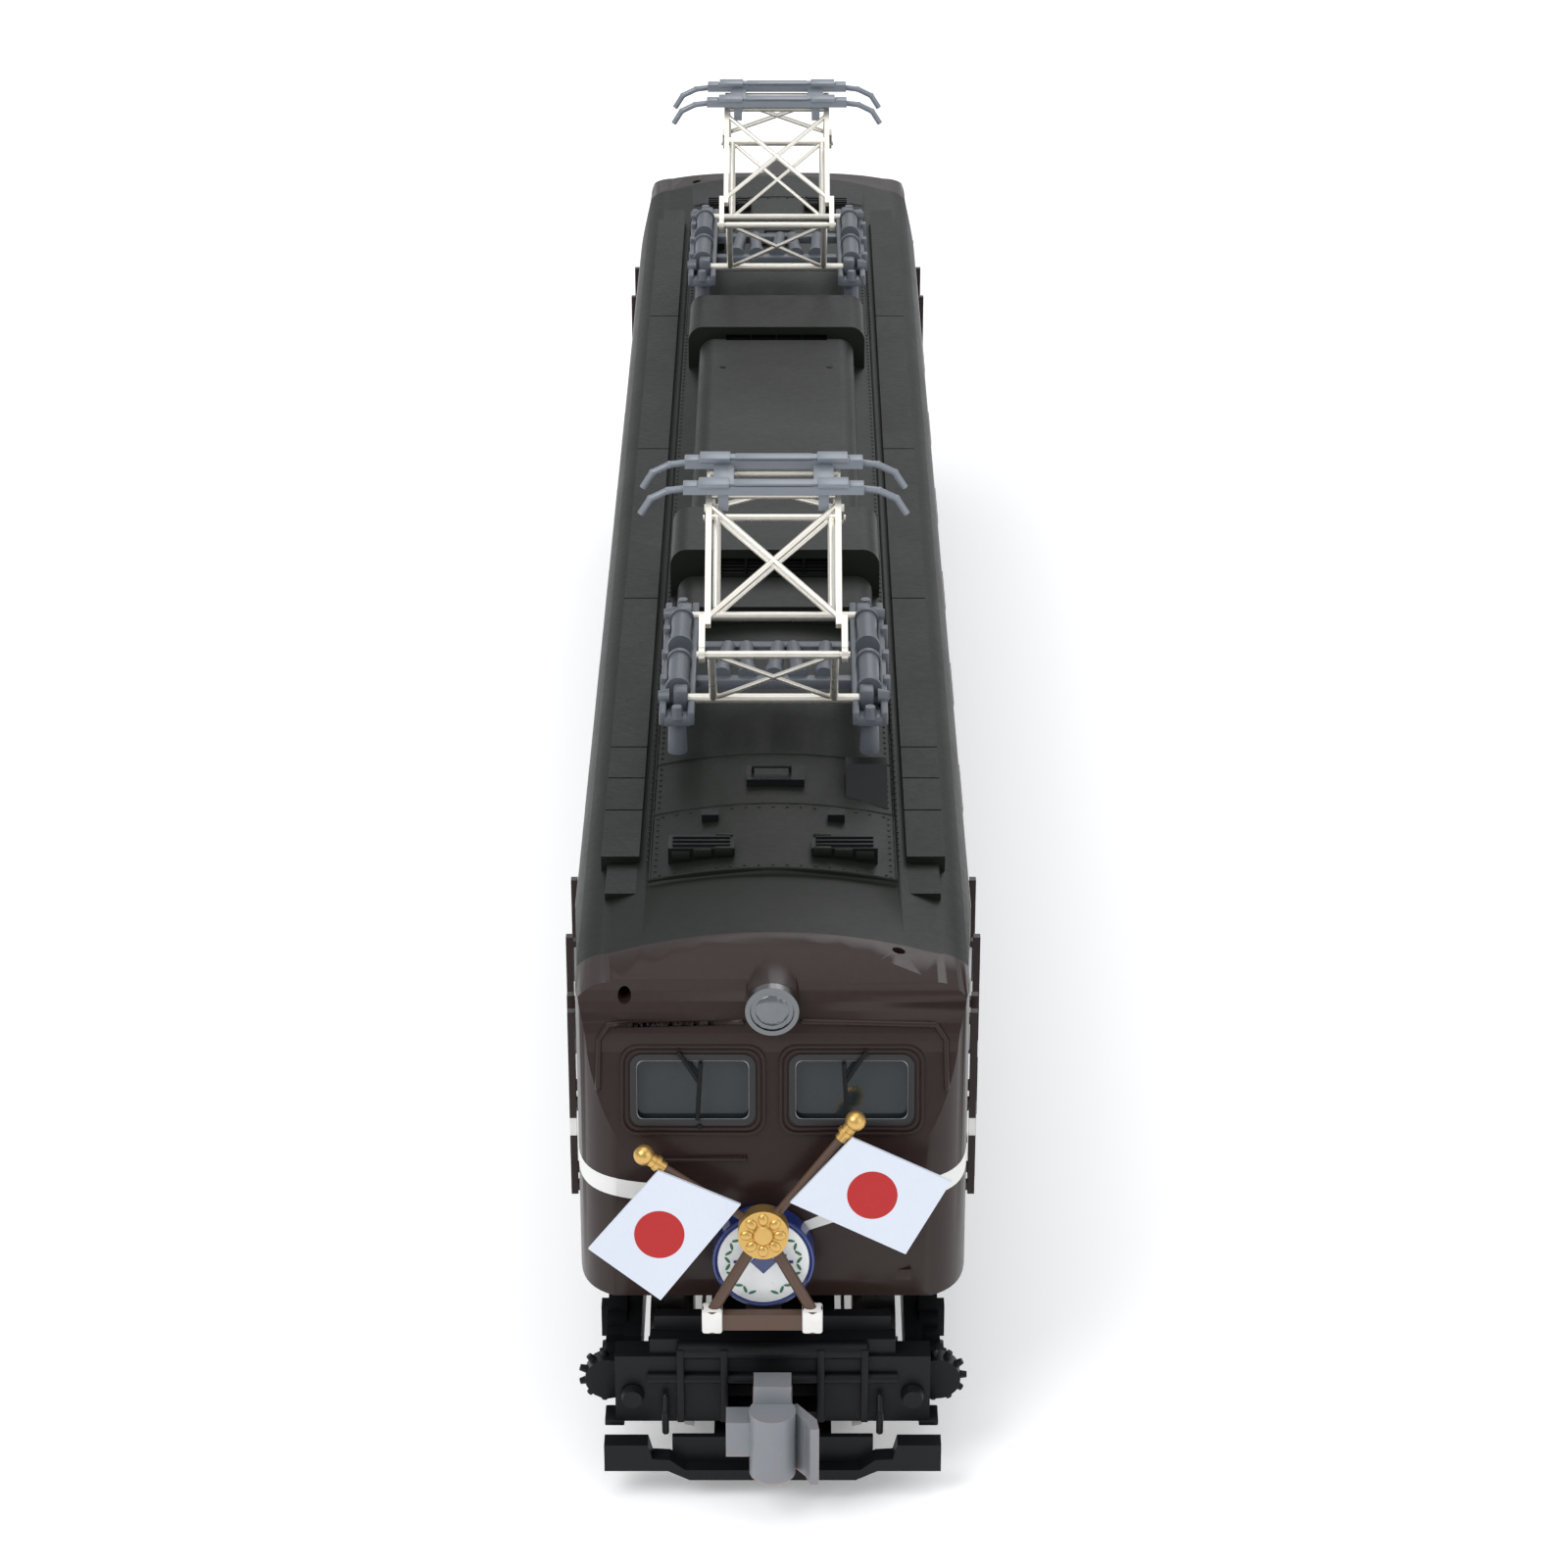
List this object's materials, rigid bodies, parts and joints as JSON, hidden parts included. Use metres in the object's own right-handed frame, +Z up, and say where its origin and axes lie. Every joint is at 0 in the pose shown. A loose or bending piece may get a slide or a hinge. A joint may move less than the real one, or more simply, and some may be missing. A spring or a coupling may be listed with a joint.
{
  "type": "model electric locomotive",
  "caption": "Model box-cab express electric locomotive for 9 mm track with pilot trucks, geared motor drive and folding diamond pantographs.",
  "frame": {"origin": "middle of the locomotive, on the plane its wheel flanges stand on", "axes": "+Z up, the front end faces -Y along the track, +X to the right when looking at the front end"},
  "size_m": [0.0196, 0.136, 0.0379],
  "materials": {
    "brown_body": "semi-gloss paint",
    "roof_paint": "satin paint",
    "black_plastic": "satin",
    "clear_glazing": "clear",
    "bright_rim": "polished",
    "clear_prism": "clear",
    "die_cast": "blasted",
    "circuit_board": "satin",
    "plated_steel": "plated",
    "grey_plastic": "satin",
    "brown_staff": "painted",
    "flag_card": "matt",
    "navy_enamel": "gloss",
    "copper_winding": "enamelled",
    "turned_brass": "turned",
    "white_nylon": "satin",
    "coupler_plastic": "satin",
    "bright_metal": "satin"
  },
  "bodies": {
    "loco_body": {"body_shell": "brown_body", "roof_panel": "roof_paint", "roof_walkways": "roof_paint", "roof_fittings": "black_plastic", "roof_hoods": "roof_paint", "window_glazing": "clear_glazing", "wipers": "black_plastic", "headlight_rims": "bright_rim", "headlight_prisms": "clear_prism", "handrails": "brown_body", "chassis_left": "die_cast", "chassis_right": "die_cast", "light_board": "circuit_board", "motor_case": "plated_steel", "truck_screws": "plated_steel", "underfloor_boxes": "black_plastic", "pantograph_bases": "grey_plastic", "flag_stand": "brown_staff", "flag_left": "flag_card", "flag_right": "flag_card", "head_mark": "navy_enamel"},
    "motor_rotor": {"motor_armature": "copper_winding", "flywheels": "turned_brass", "cardan_shafts": "grey_plastic"},
    "front_truck": {"front_gearbox": "black_plastic", "front_side_frames": "black_plastic"},
    "front_worm_shaft": {"front_worm": "white_nylon"},
    "front_idler_inner_gear": {"front_idler_inner": "white_nylon"},
    "front_idler_outer_gear": {"front_idler_outer": "white_nylon"},
    "front_pilot": {"front_pilot_truck": "black_plastic", "front_plough": "black_plastic"},
    "front_coupler_head": {"front_coupler": "coupler_plastic"},
    "rear_truck": {"rear_gearbox": "black_plastic", "rear_side_frames": "black_plastic"},
    "rear_worm_shaft": {"rear_worm": "white_nylon"},
    "rear_idler_inner_gear": {"rear_idler_inner": "white_nylon"},
    "rear_idler_outer_gear": {"rear_idler_outer": "white_nylon"},
    "rear_pilot": {"rear_pilot_truck": "black_plastic", "rear_plough": "black_plastic"},
    "rear_coupler_head": {"rear_coupler": "coupler_plastic"},
    "driver_axle_1": {"driver_wheelset_1": "plated_steel"},
    "driver_axle_2": {"driver_wheelset_2": "plated_steel"},
    "driver_axle_3": {"driver_wheelset_3": "plated_steel"},
    "driver_axle_4": {"driver_wheelset_4": "plated_steel"},
    "driver_axle_5": {"driver_wheelset_5": "plated_steel"},
    "driver_axle_6": {"driver_wheelset_6": "plated_steel"},
    "pilot_axle_1": {"pilot_wheelset_1": "plated_steel"},
    "pilot_axle_2": {"pilot_wheelset_2": "plated_steel"},
    "pilot_axle_3": {"pilot_wheelset_3": "plated_steel"},
    "pilot_axle_4": {"pilot_wheelset_4": "plated_steel"},
    "front_panto_lower_a_arm": {"front_panto_lower_a": "grey_plastic"},
    "front_panto_lower_b_arm": {"front_panto_lower_b": "grey_plastic"},
    "front_panto_upper_a_arm": {"front_panto_upper_a": "bright_metal"},
    "front_panto_upper_b_arm": {"front_panto_upper_b": "bright_metal"},
    "front_panto_collector": {"front_panto_head": "bright_metal"},
    "rear_panto_lower_a_arm": {"rear_panto_lower_a": "grey_plastic"},
    "rear_panto_lower_b_arm": {"rear_panto_lower_b": "grey_plastic"},
    "rear_panto_upper_a_arm": {"rear_panto_upper_a": "bright_metal"},
    "rear_panto_upper_b_arm": {"rear_panto_upper_b": "bright_metal"},
    "rear_panto_collector": {"rear_panto_head": "bright_metal"}
  },
  "joints": [
    {"name": "rotor_spin", "type": "hinge", "parent": "loco_body", "child": "motor_rotor", "pos_m": [0, 0, 0.01287], "axis": [0, 1, 0], "continuous": true},
    {"name": "front_truck_swivel", "type": "hinge", "parent": "loco_body", "child": "front_truck", "pos_m": [0, -0.0215, 0.012], "axis": [0, 0, 1], "range_deg": [-5, 5]},
    {"name": "front_worm_spin", "type": "hinge", "parent": "front_truck", "child": "front_worm_shaft", "pos_m": [0, -0.01525, 0.01287], "axis": [0, 1, 0], "continuous": true},
    {"name": "front_idler_inner_spin", "type": "hinge", "parent": "front_truck", "child": "front_idler_inner_gear", "pos_m": [0, -0.01525, 0.0073], "axis": [1, 0, 0], "continuous": true},
    {"name": "front_idler_outer_spin", "type": "hinge", "parent": "front_truck", "child": "front_idler_outer_gear", "pos_m": [0, -0.02775, 0.0073], "axis": [1, 0, 0], "continuous": true},
    {"name": "front_pilot_swivel", "type": "hinge", "parent": "front_truck", "child": "front_pilot", "pos_m": [0, -0.0402, 0.0063], "axis": [0, 0, 1], "range_deg": [-11, 11]},
    {"name": "front_coupler_swing", "type": "hinge", "parent": "front_pilot", "child": "front_coupler_head", "pos_m": [0, -0.0626, 0.0046], "axis": [0, 0, 1], "range_deg": [-20, 20]},
    {"name": "rear_truck_swivel", "type": "hinge", "parent": "loco_body", "child": "rear_truck", "pos_m": [0, 0.0215, 0.012], "axis": [0, 0, 1], "range_deg": [-5, 5]},
    {"name": "rear_worm_spin", "type": "hinge", "parent": "rear_truck", "child": "rear_worm_shaft", "pos_m": [0, 0.01525, 0.01287], "axis": [0, 1, 0], "continuous": true},
    {"name": "rear_idler_inner_spin", "type": "hinge", "parent": "rear_truck", "child": "rear_idler_inner_gear", "pos_m": [0, 0.01525, 0.0073], "axis": [1, 0, 0], "continuous": true},
    {"name": "rear_idler_outer_spin", "type": "hinge", "parent": "rear_truck", "child": "rear_idler_outer_gear", "pos_m": [0, 0.02775, 0.0073], "axis": [1, 0, 0], "continuous": true},
    {"name": "rear_pilot_swivel", "type": "hinge", "parent": "rear_truck", "child": "rear_pilot", "pos_m": [0, 0.0402, 0.0063], "axis": [0, 0, 1], "range_deg": [-11, 11]},
    {"name": "rear_coupler_swing", "type": "hinge", "parent": "rear_pilot", "child": "rear_coupler_head", "pos_m": [0, 0.0626, 0.0046], "axis": [0, 0, 1], "range_deg": [-20, 20]},
    {"name": "driver_1_spin", "type": "hinge", "parent": "front_truck", "child": "driver_axle_1", "pos_m": [0, -0.034, 0.00475], "axis": [1, 0, 0], "continuous": true},
    {"name": "driver_2_spin", "type": "hinge", "parent": "front_truck", "child": "driver_axle_2", "pos_m": [0, -0.0215, 0.00475], "axis": [1, 0, 0], "continuous": true},
    {"name": "driver_3_spin", "type": "hinge", "parent": "front_truck", "child": "driver_axle_3", "pos_m": [0, -0.009, 0.00475], "axis": [1, 0, 0], "continuous": true},
    {"name": "driver_4_spin", "type": "hinge", "parent": "rear_truck", "child": "driver_axle_4", "pos_m": [0, 0.009, 0.00475], "axis": [1, 0, 0], "continuous": true},
    {"name": "driver_5_spin", "type": "hinge", "parent": "rear_truck", "child": "driver_axle_5", "pos_m": [0, 0.0215, 0.00475], "axis": [1, 0, 0], "continuous": true},
    {"name": "driver_6_spin", "type": "hinge", "parent": "rear_truck", "child": "driver_axle_6", "pos_m": [0, 0.034, 0.00475], "axis": [1, 0, 0], "continuous": true},
    {"name": "pilot_1_spin", "type": "hinge", "parent": "front_pilot", "child": "pilot_axle_1", "pos_m": [0, -0.059, 0.00345], "axis": [1, 0, 0], "continuous": true},
    {"name": "pilot_2_spin", "type": "hinge", "parent": "front_pilot", "child": "pilot_axle_2", "pos_m": [0, -0.045, 0.00345], "axis": [1, 0, 0], "continuous": true},
    {"name": "pilot_3_spin", "type": "hinge", "parent": "rear_pilot", "child": "pilot_axle_3", "pos_m": [0, 0.045, 0.00345], "axis": [1, 0, 0], "continuous": true},
    {"name": "pilot_4_spin", "type": "hinge", "parent": "rear_pilot", "child": "pilot_axle_4", "pos_m": [0, 0.059, 0.00345], "axis": [1, 0, 0], "continuous": true},
    {"name": "front_panto_fold", "type": "hinge", "parent": "loco_body", "child": "front_panto_lower_a_arm", "pos_m": [0, -0.0383, 0.0278], "axis": [1, 0, 0], "range_deg": [-12, 39]},
    {"name": "front_panto_lower_b_hinge", "type": "hinge", "parent": "loco_body", "child": "front_panto_lower_b_arm", "pos_m": [0, -0.0281, 0.0278], "axis": [1, 0, 0], "range_deg": [-39.5, 12.5]},
    {"name": "front_panto_upper_a_knee", "type": "hinge", "parent": "front_panto_lower_a_arm", "child": "front_panto_upper_a_arm", "pos_m": [0, -0.04198, 0.03175], "axis": [1, 0, 0], "range_deg": [-69.86, 22.19]},
    {"name": "front_panto_upper_b_knee", "type": "hinge", "parent": "front_panto_lower_b_arm", "child": "front_panto_upper_b_arm", "pos_m": [0, -0.02442, 0.03175], "axis": [1, 0, 0], "range_deg": [-22.19, 69.86]},
    {"name": "front_panto_head_pivot", "type": "hinge", "parent": "front_panto_upper_a_arm", "child": "front_panto_collector", "pos_m": [0, -0.0347, 0.03704], "axis": [1, 0, 0], "range_deg": [-10.19, 30.86]},
    {"name": "rear_panto_fold", "type": "hinge", "parent": "loco_body", "child": "rear_panto_lower_a_arm", "pos_m": [0, 0.0383, 0.0278], "axis": [-1, 0, 0], "range_deg": [-12, 39]},
    {"name": "rear_panto_lower_b_hinge", "type": "hinge", "parent": "loco_body", "child": "rear_panto_lower_b_arm", "pos_m": [0, 0.0281, 0.0278], "axis": [-1, 0, 0], "range_deg": [-39.5, 12.5]},
    {"name": "rear_panto_upper_a_knee", "type": "hinge", "parent": "rear_panto_lower_a_arm", "child": "rear_panto_upper_a_arm", "pos_m": [0, 0.04198, 0.03175], "axis": [-1, 0, 0], "range_deg": [-69.86, 22.19]},
    {"name": "rear_panto_upper_b_knee", "type": "hinge", "parent": "rear_panto_lower_b_arm", "child": "rear_panto_upper_b_arm", "pos_m": [0, 0.02442, 0.03175], "axis": [-1, 0, 0], "range_deg": [-22.19, 69.86]},
    {"name": "rear_panto_head_pivot", "type": "hinge", "parent": "rear_panto_upper_a_arm", "child": "rear_panto_collector", "pos_m": [0, 0.0347, 0.03704], "axis": [-1, 0, 0], "range_deg": [-10.19, 30.86]}
  ],
  "couplings": [
    {"joint": "front_worm_spin", "follows": "rotor_spin", "ratio": 1},
    {"joint": "front_idler_inner_spin", "follows": "rotor_spin", "ratio": 0.029412},
    {"joint": "front_idler_outer_spin", "follows": "rotor_spin", "ratio": 0.029412},
    {"joint": "rear_worm_spin", "follows": "rotor_spin", "ratio": 1},
    {"joint": "rear_idler_inner_spin", "follows": "rotor_spin", "ratio": 0.029412},
    {"joint": "rear_idler_outer_spin", "follows": "rotor_spin", "ratio": 0.029412},
    {"joint": "driver_1_spin", "follows": "rotor_spin", "ratio": -0.05},
    {"joint": "driver_2_spin", "follows": "rotor_spin", "ratio": -0.05},
    {"joint": "driver_3_spin", "follows": "rotor_spin", "ratio": -0.05},
    {"joint": "driver_4_spin", "follows": "rotor_spin", "ratio": -0.05},
    {"joint": "driver_5_spin", "follows": "rotor_spin", "ratio": -0.05},
    {"joint": "driver_6_spin", "follows": "rotor_spin", "ratio": -0.05},
    {"joint": "front_panto_lower_b_hinge", "follows": "front_panto_fold", "ratio": -1},
    {"joint": "front_panto_upper_a_knee", "follows": "front_panto_fold", "ratio": -1.7656},
    {"joint": "front_panto_upper_b_knee", "follows": "front_panto_fold", "ratio": 1.7656},
    {"joint": "front_panto_head_pivot", "follows": "front_panto_fold", "ratio": 0.76558},
    {"joint": "rear_panto_lower_b_hinge", "follows": "rear_panto_fold", "ratio": -1},
    {"joint": "rear_panto_upper_a_knee", "follows": "rear_panto_fold", "ratio": -1.7656},
    {"joint": "rear_panto_upper_b_knee", "follows": "rear_panto_fold", "ratio": 1.7656},
    {"joint": "rear_panto_head_pivot", "follows": "rear_panto_fold", "ratio": 0.76558}
  ]
}
